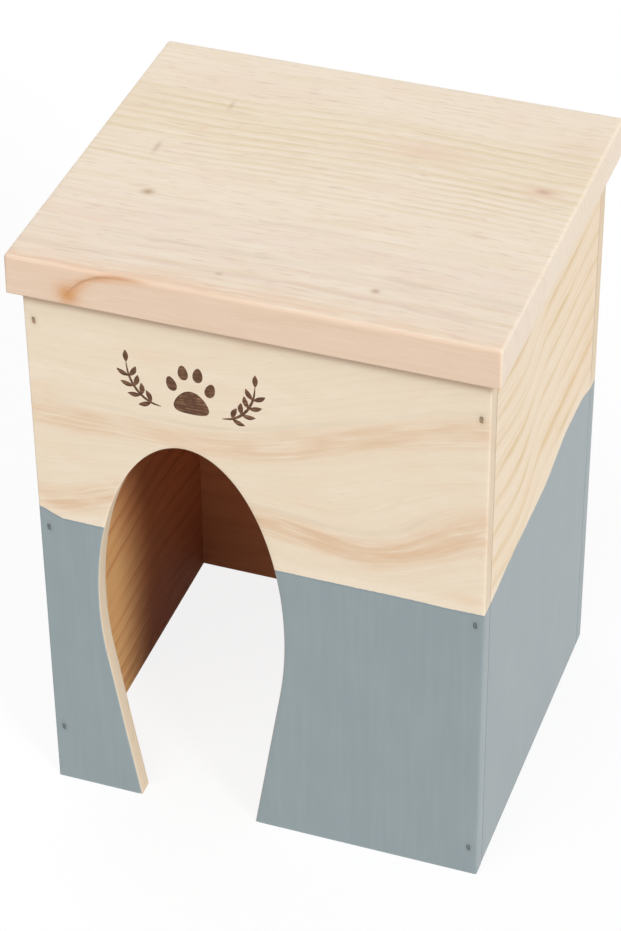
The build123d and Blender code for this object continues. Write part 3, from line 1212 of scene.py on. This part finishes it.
def toeShape(x, z, lean):
    # an oval whose width shrinks as q rises, leaning to one side
    width, height = motif["toeHalf"]

    def shape(p, q):
        return turned(x, z, width * p * (1 - motif["toeNarrower"] * q), height * q, radians(lean))

    return shape


def stemPoint(side, share):
    # a quarter of an oval from the stem's start to its end
    (x0, z0), (x1, z1), turn = motif["stemStart"], motif["stemEnd"], share * pi / 2
    return side * (x0 + (x1 - x0) * np.sin(turn)), z0 + (z1 - z0) * (1 - np.cos(turn))


def stemShape(side):
    # p runs along the stem and q square to it, thinner towards its tip
    first, last = motif["stemTaper"]

    def shape(p, q):
        share = (p + 1) / 2
        x, z = stemPoint(side, share)
        aheadX, aheadZ = stemPoint(side, share + 0.01)
        length = np.hypot(aheadX - x, aheadZ - z)
        width = motif["stemHalf"] * (first + (last - first) * share) * q
        return x - (aheadZ - z) / length * width, z + (aheadX - x) / length * width

    return shape


def leafShape(side, share, lean):
    # from its foot on the stem: width q sqrt(1 - p^2), pointed at both ends, and bowed with 1 - p^2
    rootX, rootZ = stemPoint(side, share)
    aheadX, aheadZ = stemPoint(side, share + 0.01)
    turn = np.arctan2(aheadZ - rootZ, aheadX - rootX) + radians(lean) * side
    length, width = motif["leafHalf"]

    def shape(p, q):
        bow = motif["leafBow"] * length * (1 - p * p) * np.sign(lean) * side
        across = width * q * np.sqrt(np.clip(1 - p * p, 0, 1)) + bow
        return turned(rootX, rootZ, length * (p + 1), across, turn)

    return shape


def inkMaterial():
    # brown that sinks unevenly into the fibres: share of pale = fibres + blotches
    material, recipe = newMaterial("brownInk")
    grain = pineGrain(recipe, frontWood)
    blotch = recipe.cloud(grain["along"] / 2.2, grain["across"] / 1.4, 0.0, 2.0, 70.0)
    worn = (grain["fine"] + grain["coarse"] * 0.7 + blotch * 0.7).ease(-0.12, 0.42)
    tone = recipe.mix(worn * 0.85, motif["ink"], motif["worn"])
    height = grain["fine"] * 0.04 + grain["coarse"] * 0.03
    recipe.finish(tone, 0.6 + blotch * 0.3, height, {"Specular IOR Level": 0.25})
    return material


def buildMotif():
    lean = motif["leafLean"]
    patches = [inkPatch(padShape, *motif["pad"]["lines"])]
    patches += [inkPatch(toeShape(*toe), *motif["toeLines"]) for toe in motif["toes"]]
    for side in (-1, 1):
        leaves = [(motif["tipShare"], 0.0)]
        leaves += [(share, way * lean) for share in motif["leafShares"] for way in (-1, 1)]
        patches.append(inkPatch(stemShape(side), *motif["stemLines"]))
        patches += [inkPatch(leafShape(side, *leaf), *motif["leafLines"]) for leaf in leaves]
    starts = np.cumsum([0] + [len(points) for points, quads in patches[:-1]])
    points = np.concatenate([points for points, quads in patches])
    quads = np.concatenate([quads + start for start, (points, quads) in zip(starts, patches)])
    thing = meshFrom("front_motif", points, quads)
    thing.data.shade_smooth()
    thing.data.materials.append(inkMaterial())
    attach(thing, "house")


buildMotif()
print("motif above the doorway")

steel = bradMaterial()
for name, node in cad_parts.items():
    if "nails" in name:
        node.data.materials.clear()
        node.data.materials.append(steel)
        rounding = node.modifiers.new("rounding", "BEVEL")
        rounding.width = brads["rounding"] * mm
        rounding.segments = brads["segments"]
        rounding.limit_method = "ANGLE"
print("brads")
